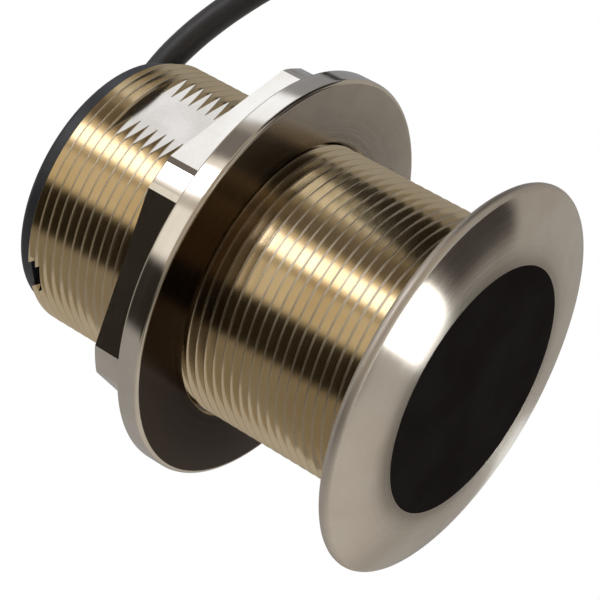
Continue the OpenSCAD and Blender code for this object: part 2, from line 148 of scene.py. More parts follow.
def bridge(shell: bmesh.types.BMesh, rings: Sequence[Ring]) -> None:
    """Joins rings of the same count with faces, each to the next.

    Args:
        shell: Shell that takes the faces.
        rings: Points of the rings, in order.
    """
    for first, second in zip(rings, rings[1:]):
        for i in range(len(first)):
            j = (i + 1) % len(first)
            corners = list(dict.fromkeys((first[i], first[j], second[j], second[i])))
            if len(corners) > 2:
                shell.faces.new(corners)


def turned(name: str, profile: Sequence[Point], count: int, place: Matrix = Matrix()) -> bpy.types.Object:
    """Makes a turned piece from half of its section.

    Args:
        name: Name of the piece.
        profile: Radius and height of each corner, from the axis round to the axis.
        count: Sides of the round.
        place: Where the piece's axis lies, if that isn't +Z.

    Returns:
        The new object.
    """
    shell = bmesh.new()
    bridge(shell, [ring_of(shell, r, z, count) for r, z in profile])
    bmesh.ops.transform(shell, matrix=place, verts=shell.verts[:])
    return link_mesh(name, shell)


def block(name: str, places: Iterable[tuple[Matrix, Vector]]) -> bpy.types.Object:
    """Makes one or more boxes.

    Args:
        name: Name of the piece.
        places: Middle and turn of each box, with its size along its own axes.

    Returns:
        The new object.
    """
    shell = bmesh.new()
    for place, size in places:
        bmesh.ops.create_cube(shell, size=1.0, matrix=place @ Matrix.Diagonal((*size, 1.0)))
    return link_mesh(name, shell)


def combine(piece: bpy.types.Object, tool: bpy.types.Object, how: Cut) -> None:
    """Combines a piece with a tool, which is used up.

    Args:
        piece: Piece that keeps the result.
        tool: Closed mesh to combine it with.
        how: Way of combining them.
    """
    change = piece.modifiers.new("combine", "BOOLEAN")
    change.operation = how.value
    change.solver = "MANIFOLD"
    change.object = tool
    settle(piece)
    bpy.data.objects.remove(tool)


def settle(piece: bpy.types.Object) -> None:
    """Bakes a piece's modifiers into its mesh.

    Args:
        piece: Piece to settle.
    """
    view = bpy.context.evaluated_depsgraph_get()
    mesh = bpy.data.meshes.new_from_object(piece.evaluated_get(view))
    piece.modifiers.clear()
    old = piece.data
    piece.data = mesh
    mesh.name = piece.name
    bpy.data.meshes.remove(old)


def smooth(piece: bpy.types.Object, crease: float) -> None:
    """Shades a piece smooth between edges that are creased by some angle or more."""
    piece.data.polygons.foreach_set("use_smooth", [True] * len(piece.data.polygons))
    piece.data.set_sharp_from_angle(angle=math.radians(crease))


def turn_z(angle: float) -> Matrix:
    """Turn about +Z."""
    return Matrix.Rotation(math.radians(angle), 4, "Z")


def arc(centre: Point, radius: float, start: float, end: float, steps: int) -> list[Point]:
    """Points along an arc, both ends included.

    Args:
        centre: Centre of the arc.
        radius: Radius of the arc.
        start: Direction of the first point.
        end: Direction of the last point.
        steps: Stretches between the points.

    Returns:
        The points.
    """
    turns = [math.radians(start + (end - start) * i / steps) for i in range(steps + 1)]
    return [(centre[0] + radius * math.cos(a), centre[1] + radius * math.sin(a)) for a in turns]


def rounded(across: Point, height: Point, radius: float, steps: int) -> list[Point]:
    """Rectangle with rounded corners.

    Args:
        across: Its low and high side across.
        height: Its low and high side.
        radius: Radius of the corners.
        steps: Stretches in each corner.

    Returns:
        Points in order round it.
    """
    left, right = across[0] + radius, across[1] - radius
    low, high = height[0] + radius, height[1] - radius
    corners = (((right, low), -90), ((right, high), 0), ((left, high), 90), ((left, low), 180))
    return [point for middle, a in corners for point in arc(middle, radius, a, a + 90, steps)]


def ease(share: float) -> float:
    """Smooth step from 0 to 1 as the share goes from 0 to 1."""
    t = min(1.0, max(0.0, share))
    return t * t * (3 - 2 * t)


@dataclass(frozen=True)
class Grooves:
    """Grooves round a straight or tapered moulding."""

    count: int
    first: float
    pitch: float
    width: float
    depth: float
    shoulder: float

    def cut(self, radius: float, start: float = 0.0, slope: float = 0.0) -> list[Point]:
        """Section of the moulding's outside along its grooves.

        Args:
            radius: Radius where the moulding starts.
            start: Height where it starts.
            slope: Growth of its radius with height.

        Returns:
            Radius and height of each corner.
        """
        corners = []
        for i in range(self.count):
            low = start + self.first + self.pitch * i
            high = low + self.width
            r = radius + slope * (low - start)
            floor_r = r - self.depth
            corners += [(r, low), (floor_r, low + self.shoulder), (floor_r, high - self.shoulder)]
            corners.append((r + slope * self.width, high))
        return corners


# Finishes


class Shader:
    """Lays out the nodes of one material or of the surroundings."""

    def __init__(self, tree: bpy.types.NodeTree) -> None:
        """Starts with an empty tree."""
        self.tree = tree
        tree.nodes.clear()

    def add(self, kind: str, **settings: object) -> bpy.types.Node:
        """Adds a node.

        Args:
            kind: Blender's name of the node's type.
            settings: Properties to set on it.

        Returns:
            The node.
        """
        node = self.tree.nodes.new(kind)
        for key, value in settings.items():
            setattr(node, key, value)
        return node

    def feed(self, value: object, socket: bpy.types.NodeSocket) -> None:
        """Links a socket to another, or sets its value.

        Args:
            value: Output socket, number, colour or vector.
            socket: Input that takes it.
        """
        if isinstance(value, bpy.types.NodeSocket):
            self.tree.links.new(value, socket)
        elif isinstance(value, tuple) and len(value) == 3 and socket.type == "RGBA":
            socket.default_value = (*value, 1.0)
        else:
            socket.default_value = value

    def calc(self, operation: str, *values: object) -> bpy.types.NodeSocket:
        """One step of arithmetic.

        Args:
            operation: Name of the step.
            values: Its inputs in order.

        Returns:
            The result.
        """
        node = self.add("ShaderNodeMath", operation=operation)
        for value, socket in zip(values, node.inputs):
            self.feed(value, socket)
        return node.outputs[0]

    def product(self, first: object, *others: object) -> bpy.types.NodeSocket:
        """Product of two values or more.

        Args:
            first: Value to start with.
            others: Values that it is multiplied by.

        Returns:
            The product.
        """
        for value in others:
            first = self.calc("MULTIPLY", first, value)
        return first

    def dot(self, vector: bpy.types.NodeSocket, direction: Vector) -> bpy.types.NodeSocket:
        """Share of a vector along a fixed direction.

        Args:
            vector: Vector to measure.
            direction: Unit direction.

        Returns:
            The share.
        """
        node = self.add("ShaderNodeVectorMath", operation="DOT_PRODUCT")
        self.feed(vector, node.inputs[0])
        node.inputs[1].default_value = direction
        return node.outputs["Value"]

    def remap(self, value: object, span: Sequence[float], result: Sequence[float]) -> bpy.types.NodeSocket:
        """Smoothly maps a span of values to another.

        Args:
            value: Value to map.
            span: Ends of the span that it is in.
            result: What the two ends become.

        Returns:
            The mapped value.
        """
        node = self.add("ShaderNodeMapRange", interpolation_type="SMOOTHSTEP")
        for given, socket in zip((value, *span, *result), node.inputs):
            self.feed(given, socket)
        return node.outputs[0]

    def mix(self, share: object, first: object, second: object) -> bpy.types.NodeSocket:
        """Mixes two colours.

        Args:
            share: Share of the second.
            first: Colour at 0.
            second: Colour at 1.

        Returns:
            The mixed colour.
        """
        node = self.add("ShaderNodeMix", data_type="RGBA")
        self.feed(share, node.inputs["Factor"])
        self.feed(first, node.inputs[6])
        self.feed(second, node.inputs[7])
        return node.outputs[2]

    def blend(self, share: object, first: bpy.types.Node, second: bpy.types.Node) -> bpy.types.Node:
        """Blends two shaders.

        Args:
            share: Share of the second.
            first: Shader at 0.
            second: Shader at 1.

        Returns:
            The blended shader.
        """
        node = self.add("ShaderNodeMixShader")
        for value, socket in zip((share, first.outputs[0], second.outputs[0]), node.inputs):
            self.feed(value, socket)
        return node

    def place(self) -> bpy.types.NodeSocket:
        """Point of the surface, in the object's own coordinates."""
        return self.add("ShaderNodeTexCoord").outputs["Object"]

    def noise(self, vector: object, scale: float, detail: float) -> bpy.types.NodeSocket:
        """Cloudy noise.

        Args:
            vector: Where to sample it.
            scale: Cells for each metre.
            detail: Octaves.

        Returns:
            Value from 0 to 1.
        """
        node = self.add("ShaderNodeTexNoise")
        for value, key in ((vector, "Vector"), (scale, "Scale"), (detail, "Detail")):
            self.feed(value, node.inputs[key])
        return node.outputs["Fac"]

    def bump(self, height: object, depth: float) -> bpy.types.NodeSocket:
        """Fine relief.

        Args:
            height: Height from 0 to 1.
            depth: Depth of the relief in metres.

        Returns:
            Normal of the surface.
        """
        node = self.add("ShaderNodeBump")
        for value, key in ((1.0, "Strength"), (depth, "Distance"), (height, "Height")):
            self.feed(value, node.inputs[key])
        return node.outputs["Normal"]

    def principled(self, inputs: dict[str, object]) -> bpy.types.NodeSocket:
        """Shader of a solid surface.

        Args:
            inputs: Value of each input that isn't left as it is.

        Returns:
            The shader.
        """
        node = self.add("ShaderNodeBsdfPrincipled")
        for key, value in inputs.items():
            self.feed(value, node.inputs[key])
        return node.outputs[0]

    def end(self, shader: bpy.types.NodeSocket, target: Target) -> None:
        """Ends the tree with a shader."""
        self.feed(shader, self.add(target.value).inputs["Surface"])


@dataclass(frozen=True)
class Finish:
    """What a surface is made of. Each kind lays out its own nodes."""

    name: str

    def surface(self, sh: Shader) -> bpy.types.NodeSocket:
        """Lays out the finish in an empty tree and gives its shader."""
        raise NotImplementedError

    def material(self) -> bpy.types.Material:
        """Material of the finish, which is made when it is first asked for.

        Returns:
            The material.
        """
        made = bpy.data.materials.get(self.name)
        if made is None:
            made = bpy.data.materials.new(self.name)
            made.use_nodes = True
            sh = Shader(made.node_tree)
            sh.end(self.surface(sh), Target.MATERIAL)
        return made


@dataclass(frozen=True)
class TurnedBronze(Finish):
    """Bronze from the lathe: rings of tool marks, clouds of tarnish and a grain that runs round the axis.

    Where it leans, painted shade covers the -X side and fades out over that distance towards +X, with the
    tarnish clouds kept under it at a reduced share.
    """

    pale: Colour
    deep: Colour
    roughness: float
    rough_shares: Point = (0.85, 1.2)
    grain: float = 0.6
    grain_turn: float = 0.25
    mark_scale: float = 2600.0
    mark_detail: float = 3.0
    mark_span: Point = (0.25, 0.75)
    mark_depth: float = 4e-6
    cloud_scale: float = 70.0
    cloud_detail: float = 5.0
    cloud_span: Point = (0.35, 0.7)
    lean: float = 0.0
    lean_clouds: float = 0.15

    def surface(self, sh: Shader) -> bpy.types.NodeSocket:
        """Lays out the marks, the tarnish, the painted shade where it leans, and the grain.

        Args:
            sh: Empty node tree.

        Returns:
            The finish's shader.
        """
        place = sh.place()
        axes = sh.add("ShaderNodeSeparateXYZ")
        sh.feed(place, axes.inputs[0])
        x, y, z = axes.outputs
        section = sh.add("ShaderNodeCombineXYZ")
        sh.feed(sh.calc("SQRT", sh.calc("ADD", sh.product(x, x), sh.product(y, y))), section.inputs["X"])
        sh.feed(z, section.inputs["Z"])
        marks = sh.noise(section.outputs[0], self.mark_scale, self.mark_detail)
        tarnish_and_shade = sh.remap(sh.noise(place, self.cloud_scale, self.cloud_detail), self.cloud_span, UNIT)
        # Painted shade: full on the -X side, gone at the lean's distance towards +X
        if self.lean:
            side = sh.remap(x, (0.0, self.lean), FALLING)
            tarnish_and_shade = sh.calc("MAXIMUM", side, sh.product(tarnish_and_shade, self.lean_clouds))
        return sh.principled({
            "Metallic": 1.0,
            "Anisotropic": self.grain,
            "Anisotropic Rotation": self.grain_turn,
            "Tangent": sh.add("ShaderNodeTangent", direction_type="RADIAL", axis="Z").outputs[0],
            "Base Color": sh.mix(tarnish_and_shade, self.pale, self.deep),
            "Roughness": sh.remap(marks, self.mark_span, [self.roughness * s for s in self.rough_shares]),
            "Normal": sh.bump(marks, self.mark_depth),
        })


@dataclass(frozen=True)
class Stock(Finish):
    """Cast, moulded or drawn stuff: two close colours in a fine or coarse grain, with clouds of it."""

    colour: Colour
    fleck: Colour
    roughness: float
    grain_scale: float = 900.0
    grain_depth: float = 1.5e-5
    metallic: float = 0.0
    gloss: float = 0.5
    grain_detail: float = 4.0
    grain_span: Point = (0.4, 0.75)
    cloud_grains: float = 12.0
    cloud_detail: float = 3.0
    cloud_span: Point = (0.2, 0.8)
    cloud_shares: Point = (0.4, 1.0)
    rough_span: Point = (0.3, 0.7)
    rough_shares: Point = (0.9, 1.12)

    def surface(self, sh: Shader) -> bpy.types.NodeSocket:
        """Lays out the grain and its clouds.

        Args:
            sh: Empty node tree.

        Returns:
            The finish's shader.
        """
        place = sh.place()
        grain = sh.noise(place, self.grain_scale, self.grain_detail)
        clouds = sh.noise(place, self.grain_scale / self.cloud_grains, self.cloud_detail)
        flecks = sh.remap(grain, self.grain_span, UNIT)
        share = sh.product(flecks, sh.remap(clouds, self.cloud_span, self.cloud_shares))
        return sh.principled({
            "Metallic": self.metallic,
            "Specular IOR Level": self.gloss,
            "Base Color": sh.mix(share, self.colour, self.fleck),
            "Roughness": sh.remap(clouds, self.rough_span, [self.roughness * s for s in self.rough_shares]),
            "Normal": sh.bump(grain, self.grain_depth),
        })


@dataclass(frozen=True)
class Webbing(Finish):
    """Woven strap with a fine plain weave."""

    colour: Colour
    fleck: Colour
    threads: float = 900.0
    wobble: float = 0.6
    weave_depth: float = 1.5e-4
    roughness: float = 0.85
    sheen: float = 0.3

    def surface(self, sh: Shader) -> bpy.types.NodeSocket:
        """Lays out the weave.

        Args:
            sh: Empty node tree.

        Returns:
            The finish's shader.
        """
        place = sh.place()
        heights = []
        for direction in ("X", "Z"):
            wave = sh.add("ShaderNodeTexWave", bands_direction=direction)
            sh.feed(self.threads / math.pi, wave.inputs["Scale"])
            sh.feed(self.wobble, wave.inputs["Distortion"])
            sh.feed(place, wave.inputs["Vector"])
            heights.append(wave.outputs["Fac"])
        weave = sh.product(*heights)
        return sh.principled({
            "Base Color": sh.mix(weave, self.colour, self.fleck),
            "Roughness": self.roughness,
            "Sheen Weight": self.sheen,
            "Normal": sh.bump(weave, self.weave_depth),
        })


@dataclass(frozen=True)
class PaleFloor(Finish):
    """Dull pale floor that turns white far out and can be seen from above only."""

    dull: Colour
    fleck: Colour
    grain_scale: float = 40.0
    grain_detail: float = 2.0
    fade: Point = (0.3, 0.9)

    def surface(self, sh: Shader) -> bpy.types.NodeSocket:
        """Lays out the ground, its fade and its clear underside.

        Args:
            sh: Empty node tree.

        Returns:
            The finish's shader.
        """
        place = sh.place()
        pale = sh.add("ShaderNodeBsdfDiffuse")
        grain = sh.noise(place, self.grain_scale, self.grain_detail)
        sh.feed(sh.mix(grain, self.dull, self.fleck), pale.inputs["Color"])
        reach = sh.add("ShaderNodeVectorMath", operation="LENGTH")
        sh.feed(place, reach.inputs[0])
        far = sh.remap(reach.outputs["Value"], self.fade, UNIT)
        ground = sh.blend(far, pale, sh.add("ShaderNodeEmission"))
        under = sh.add("ShaderNodeNewGeometry").outputs["Backfacing"]
        return sh.blend(under, ground, sh.add("ShaderNodeBsdfTransparent")).outputs[0]


FLANGE_BRONZE = TurnedBronze("flange_bronze", (0.80, 0.755, 0.69), (0.73, 0.67, 0.59), 0.16, grain=0.97)
NUT_BRONZE = TurnedBronze("turned_nut_bronze", (0.84, 0.79, 0.71), (0.75, 0.69, 0.60), 0.15, grain=0.9)
THREAD_BRONZE = TurnedBronze("thread_bronze", (0.76, 0.66, 0.49), (0.71, 0.60, 0.42), 0.14, grain=0.6)
CREST_BRONZE = TurnedBronze("crest_bronze", (0.60, 0.53, 0.41), (0.53, 0.46, 0.35), 0.4, grain=0.2)
EDGE_BRONZE = TurnedBronze("edge_bronze", (0.80, 0.755, 0.69), (0.73, 0.67, 0.59), 0.5, grain=0.3)
# Seat on the nut's front: painted shade and painted dark reflection, near black on the -X side, fading to
# pale bronze over 36 mm towards +X
SHADED_SEAT_BRONZE = TurnedBronze(
    "seat_bronze_painted_shade", (0.68, 0.62, 0.55), (0.07, 0.05, 0.04), 0.2, grain=0.7, lean=36 * MM)
MILLED_BRONZE = Stock(
    "milled_bronze", (0.76, 0.71, 0.64), (0.71, 0.66, 0.585), 0.28, 1500.0, 1e-6, metallic=1.0)
CAP_PLASTIC = Stock("cap_plastic", (0.012, 0.013, 0.016), (0.018, 0.019, 0.022), 0.38, 1400.0, 1e-5)
RELIEF_RUBBER = Stock("relief_rubber", (0.013, 0.013, 0.014), (0.020, 0.020, 0.022), 0.5, 1200.0, 2e-5)
CABLE_JACKET = Stock("cable_jacket", (0.018, 0.017, 0.018), (0.026, 0.025, 0.026), 0.42, 800.0)
CONNECTOR_PLASTIC = Stock("connector_plastic", (0.014, 0.014, 0.016), (0.022, 0.022, 0.025), 0.42, 1500.0)
TIE_WEBBING = Webbing("tie_webbing", (0.006, 0.006, 0.007), (0.028, 0.028, 0.031))
PALE_FLOOR = PaleFloor("pale_floor", (0.80, 0.80, 0.80), (0.83, 0.83, 0.83))

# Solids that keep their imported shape
CONNECTOR_FINISHES: dict[str, Finish] = {
    "coupling_ring": Stock(
        "coupling_plastic", (0.020, 0.020, 0.023), (0.030, 0.030, 0.034), 0.5, 1500.0, 2e-5),
    "contact_insert": Stock("insert_moulding", (0.028, 0.028, 0.031), (0.04, 0.04, 0.044), 0.5),
    "contact_sockets": Stock("gold_plate", (0.78, 0.56, 0.20), (0.70, 0.48, 0.15), 0.25, 2500.0, 3e-6, 1.0),
}
CORE_FINISHES: dict[str, Finish] = {
    "acoustic_window": Stock(
        "window_resin", (0.0045, 0.0028, 0.0028), (0.0065, 0.0042, 0.0042), 0.6, 700.0, 1e-5, gloss=0.04),
    "piezo_element": Stock("fired_ceramic", (0.66, 0.62, 0.52), (0.74, 0.71, 0.62), 0.35, 1500.0, 5e-6),
    "isolator_sleeve": Stock("closed_foam", (0.13, 0.14, 0.15), (0.20, 0.21, 0.22), 0.9, 1800.0, 1.5e-4),
    "backing_pad": Stock("pressed_cork", (0.36, 0.23, 0.12), (0.16, 0.09, 0.05), 0.85, 700.0, 1.2e-4),
    "element_leads": Stock("red_insulation", (0.42, 0.05, 0.03), (0.50, 0.07, 0.05), 0.4),
    "temperature_sensor": Stock("dipped_bead", (0.02, 0.024, 0.03), (0.03, 0.034, 0.042), 0.3),
    "sensor_leads": Stock("blue_insulation", (0.04, 0.14, 0.36), (0.06, 0.18, 0.42), 0.4),
    "circuit_board": Stock("board_laminate", (0.03, 0.15, 0.06), (0.045, 0.19, 0.08), 0.4, 2500.0, 1e-5),
    "identity_chip": Stock("chip_mould", (0.012, 0.012, 0.013), (0.02, 0.02, 0.021), 0.55, 3000.0, 1e-5),
    "tuning_resistors": Stock("resistor_lacquer", (0.48, 0.38, 0.20), (0.55, 0.45, 0.26), 0.3),
    "transformer_core": Stock(
        "sintered_ferrite", (0.03, 0.03, 0.032), (0.05, 0.05, 0.053), 0.5, 2600.0, 2e-5),
    "transformer_bobbin": Stock("bobbin_nylon", (0.60, 0.56, 0.47), (0.66, 0.62, 0.53), 0.45),
    "transformer_winding": Stock(
        "enamelled_copper", (0.50, 0.20, 0.08), (0.40, 0.14, 0.05), 0.3, 2200.0, 1e-4, 0.8),
    "cable_cores": Stock("grey_insulation", (0.42, 0.42, 0.43), (0.48, 0.48, 0.49), 0.45),
    "potting_fill": Stock("potting_resin", (0.018, 0.016, 0.014), (0.028, 0.025, 0.022), 0.4),
}


def dress(piece: bpy.types.Object, *finishes: Finish) -> None:
    """Gives a piece its materials.

    Args:
        piece: Piece to dress.
        finishes: Finishes in the order of its material slots.
    """
    piece.data.materials.clear()
    for finish in finishes:
        piece.data.materials.append(finish.material())


def carry(piece: bpy.types.Object, body: Body, slot: str, *nodes: str) -> None:
    """Puts a piece on its body in the place of some solids.

    Args:
        piece: Piece to carry.
        body: Body that it moves with.
        slot: Not used.
        nodes: Solids that it stands for.
    """
    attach(piece, body.value)
    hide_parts(*nodes)
    LOG.info("%s: on %s in the place of %s", piece.name, body.value, ", ".join(nodes))


def fit(piece: bpy.types.Object, finish: Finish, slot: str, *nodes: str) -> None:
    """Dresses a piece in one finish and puts it on the transducer in the place of some solids."""
    dress(piece, finish)
    carry(piece, Body.TRANSDUCER, slot, *nodes)


def dress_solids(finishes: dict[str, Finish]) -> list[bpy.types.Object]:
    """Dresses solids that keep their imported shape.

    Args:
        finishes: Finish of each solid, by the solid's name.

    Returns:
        The solids.
    """
    solids = []
    for node, finish in finishes.items():
        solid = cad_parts[node]
        dress(solid, finish)
        solids.append(solid)
        LOG.info("%s: dressed solid", node)
    return solids


# Sub-assemblies


@dataclass
class Housing:
    """One turned bronze piece: flange, threaded stem with two wrench flats, and a notch in the rear rim."""

    flange_r: float = 40.1 * MM
    flange_h: float = 5.4 * MM
    edge_r: float = 1.3 * MM
    edge_steps: int = 9
    crown_steps: int = 14
    face_r: float = 25.6 * MM
    recess_h: float = 5.0 * MM
    bore_r: float = 23.475 * MM
    stem_h: float = 86.0 * MM
    crest_r: float = 28.575 * MM
    crest_tilt: float = 0.3
    root_slack: float = 0.05 * MM
    pitch: float = 2.12 * MM
    crest_w: float = 0.12 * MM
    root_w: float = 0.24 * MM
    fade_turns: float = 0.5
    spare_turns: int = 3
    land_h: float = 1.6 * MM
    land_rise: float = 0.1 * MM
    foot_gap: float = 0.05 * MM
    rim_chamfer: float = 0.8 * MM
    flat_depth: float = 1.9 * MM
    flat_l: float = 25.4 * MM
    flat_rim_gap: float = 6.6 * MM
    flat_angle: float = -51.5
    flat_facing: float = 0.9999
    notch_w: float = 6.5 * MM
    notch_h: float = 3.0 * MM
    notch_angle: float = -144.0
    sides: int = 144
    crease: float = 28.0
    piece: bpy.types.Object = field(init=False)

    @property
    def flank_w(self) -> float:
        """Width of a thread's flank along the stem."""
        return (self.pitch - self.crest_w - self.root_w) / 2

    @property
    def root_r(self) -> float:
        """Radius at the bottom of the thread, whose flanks lean by 30 degrees."""
        return self.crest_r - self.flank_w * math.sqrt(3)

    @property
    def edge_z(self) -> float:
        """Height of the centre of the flange's rounded edge."""
        return self.flange_h - self.edge_r

    @property
    def crown_w(self) -> float:
        """Width of the flange from the face to the centre of its rounded edge."""
        return self.flange_r - self.edge_r - self.face_r

    @property
    def crown_r(self) -> float:
        """Radius of the flange's crown, which runs smoothly into the rounded edge."""
        return (self.crown_w**2 + self.edge_z**2 - self.edge_r**2) / (2 * (self.edge_z - self.edge_r))

    @property
    def crown_end(self) -> float:
        """Direction from the crown's centre to its outer end."""
        return math.degrees(math.atan2(self.edge_z - self.crown_r, self.crown_w))

    @property
    def crown_edge_r(self) -> float:
        """Distance from the axis to the crown's outer end."""
        return self.face_r + self.crown_r * math.cos(math.radians(self.crown_end))

    @property
    def thread_z(self) -> float:
        """Height where the thread starts."""
        return self.flange_h + self.land_h

    @property
    def foot_z(self) -> float:
        """Height of the plain land's top, just under the thread."""
        return self.thread_z - self.foot_gap

    @property
    def flat_r(self) -> float:
        """Distance from the axis to a wrench flat."""
        return self.crest_r - self.flat_depth

    def flange_profile(self, top: float) -> list[Point]:
        """Section from the foot of the thread round the flange and up the bore.

        Args:
            top: Height where the bore ends.

        Returns:
            Radius and height of each corner.
        """
        edge_centre = (self.flange_r - self.edge_r, self.edge_z)
        edge = arc(edge_centre, self.edge_r, 90, self.crown_end, self.edge_steps)
        crown = arc((self.face_r, self.crown_r), self.crown_r, self.crown_end, -90, self.crown_steps)
        inside = [(self.face_r, self.recess_h), (self.bore_r, self.recess_h), (self.bore_r, top)]
        land_r = self.crest_r + self.land_rise
        return [(land_r, self.foot_z), (land_r, self.flange_h), *edge, *crown[1:], *inside]

    def thread_rows(self, shell: bmesh.types.BMesh, last: int) -> list[Ring]:
        """Adds the points of the thread's section, step by step up the stem, fading at both ends.

        Args:
            shell: Shell that takes the points.
            last: Number of the last step.

        Returns:
            Four points for each step: root, crest, crest, root.
        """
        rises = (0.0, self.flank_w, self.flank_w + self.crest_w, 2 * self.flank_w + self.crest_w)
        fade_steps = self.fade_turns * self.sides
        rows = []
        for i in range(last + 1):
            fade = ease(i / fade_steps) * ease((last - i) / fade_steps)
            high_r = self.root_r + (self.crest_r - self.root_r) * fade
            turn = math.tau * i / self.sides
            x, y = math.cos(turn), math.sin(turn)
            z = self.thread_z + self.pitch * (i / self.sides)
            radii = (self.root_r, high_r, high_r, self.root_r)
            rows.append([shell.verts.new((r * x, r * y, z + up)) for r, up in zip(radii, rises)])
        return rows

    def thread_shell(self, shell: bmesh.types.BMesh) -> tuple[Ring, Ring, float]:
        """Winds the thread's section up the stem and closes it onto a ring at each end.

        Args:
            shell: Shell that takes the thread.

        Returns:
            Ring at the foot of the thread, ring at its top, and the top's height.
        """
        n = self.sides
        turns = math.ceil((self.stem_h - self.thread_z) / self.pitch) + self.spare_turns
        last = turns * n
        rows = self.thread_rows(shell, last)
        top_z = self.thread_z + self.pitch * (turns + 1)
        foot = ring_of(shell, self.root_r, self.foot_z, n)
        top = ring_of(shell, self.root_r, top_z, n)
        for i in range(last):
            for k in range(3):
                shell.faces.new((rows[i][k], rows[i + 1][k], rows[i + 1][k + 1], rows[i][k + 1]))
        for i in range(last - n):
            shell.faces.new((rows[i][3], rows[i + 1][3], rows[i + 1 + n][0], rows[i + n][0]))
        for i in range(n - 1):
            shell.faces.new((foot[i], foot[i + 1], rows[i + 1][0], rows[i][0]))
            j = last - n + i + 1
            shell.faces.new((rows[j][3], rows[j + 1][3], top[(i + 2) % n], top[i + 1]))
        shell.faces.new((foot[n - 1], foot[0], *rows[0], rows[n][0], rows[n - 1][0]))
        shell.faces.new((rows[last - n][3], rows[last - n + 1][3], top[1], top[0], *reversed(rows[last])))
        return foot, top, top_z

    def build(self) -> None:
        """Builds the blank, then cuts the rear end, the wrench flats and the notch."""
        shell = bmesh.new()
        foot, top, top_z = self.thread_shell(shell)
        flange = [ring_of(shell, r, z, self.sides) for r, z in self.flange_profile(top_z)]
        bridge(shell, [foot, *flange, top])
        self.piece = link_mesh("bronze_housing", shell)
        outside, above = self.crest_r + OVERCUT, top_z + OVERCUT
        end_cut = [
            (0.0, self.stem_h), (self.crest_r - self.rim_chamfer, self.stem_h),
            (outside, self.stem_h - self.rim_chamfer - OVERCUT), (outside, above), (0.0, above),
        ]
        combine(self.piece, turned("rim_cutter", end_cut, self.sides), Cut.REMOVE)
        combine(self.piece, block("flat_cutter", self.flat_cuts()), Cut.REMOVE)
        combine(self.piece, block("notch_cutter", [self.notch_cut()]), Cut.REMOVE)
        smooth(self.piece, self.crease)

    def flat_cuts(self) -> list[tuple[Matrix, Vector]]:
        """Boxes that cut the two wrench flats and reach well past the crests.

        Returns:
            Place and size of each box.
        """
        size = Vector((4 * self.flat_depth, 2 * self.crest_r, self.flat_l))
        height = self.stem_h - self.flat_rim_gap - self.flat_l / 2
        middle = Matrix.Translation((self.flat_r + size.x / 2, 0.0, height))
        return [(turn_z(self.flat_angle + half_turn) @ middle, size) for half_turn in (0.0, 180.0)]

    def notch_cut(self) -> tuple[Matrix, Vector]:
        """Box that cuts the notch, with its middle on the rim's edge.

        Returns:
            Place and size of the box.
        """
        size = Vector((3 * (self.crest_r - self.bore_r), self.notch_w, 2 * self.notch_h))
        return turn_z(self.notch_angle) @ Matrix.Translation((self.crest_r, 0.0, self.stem_h)), size

    def surface_of(self, face: bpy.types.MeshPolygon) -> Surface:
        """Tells which surface of the finished piece a face belongs to.

        Args:
            face: Face to look at.

        Returns:
            Its surface.
        """
        spot = face.center
        reach = math.hypot(spot.x, spot.y)
        facing = turn_z(self.flat_angle) @ Vector((1.0, 0.0, 0.0))
        on_flat = abs(abs(spot.dot(facing)) - self.flat_r) < TOUCH
        if on_flat and abs(face.normal.dot(facing)) > self.flat_facing:
            return Surface.MILLED
        if self.flange_h + TOUCH < spot.z < self.stem_h - TOUCH and reach > self.root_r - self.root_slack:
            return Surface.CREST if abs(face.normal.z) < self.crest_tilt else Surface.THREAD
        if spot.z < self.flange_h - TOUCH and reach > self.crown_edge_r + TOUCH:
            return Surface.EDGE
        return Surface.TURNED

    def dress(self) -> None:
        """Paler satin on the flange and rim, golden bronze on the thread, bright milled flats."""
        finishes = {
            Surface.TURNED: FLANGE_BRONZE,
            Surface.THREAD: THREAD_BRONZE,
            Surface.CREST: CREST_BRONZE,
            Surface.EDGE: EDGE_BRONZE,
            Surface.MILLED: MILLED_BRONZE,
        }
        dress(self.piece, *finishes.values())
        order = list(finishes)
        for face in self.piece.data.polygons:
            surface = self.surface_of(face)
            face.material_index = order.index(surface)
            face.use_smooth = surface is not Surface.MILLED
        carry(self.piece, Body.TRANSDUCER, "bronze", "housing")


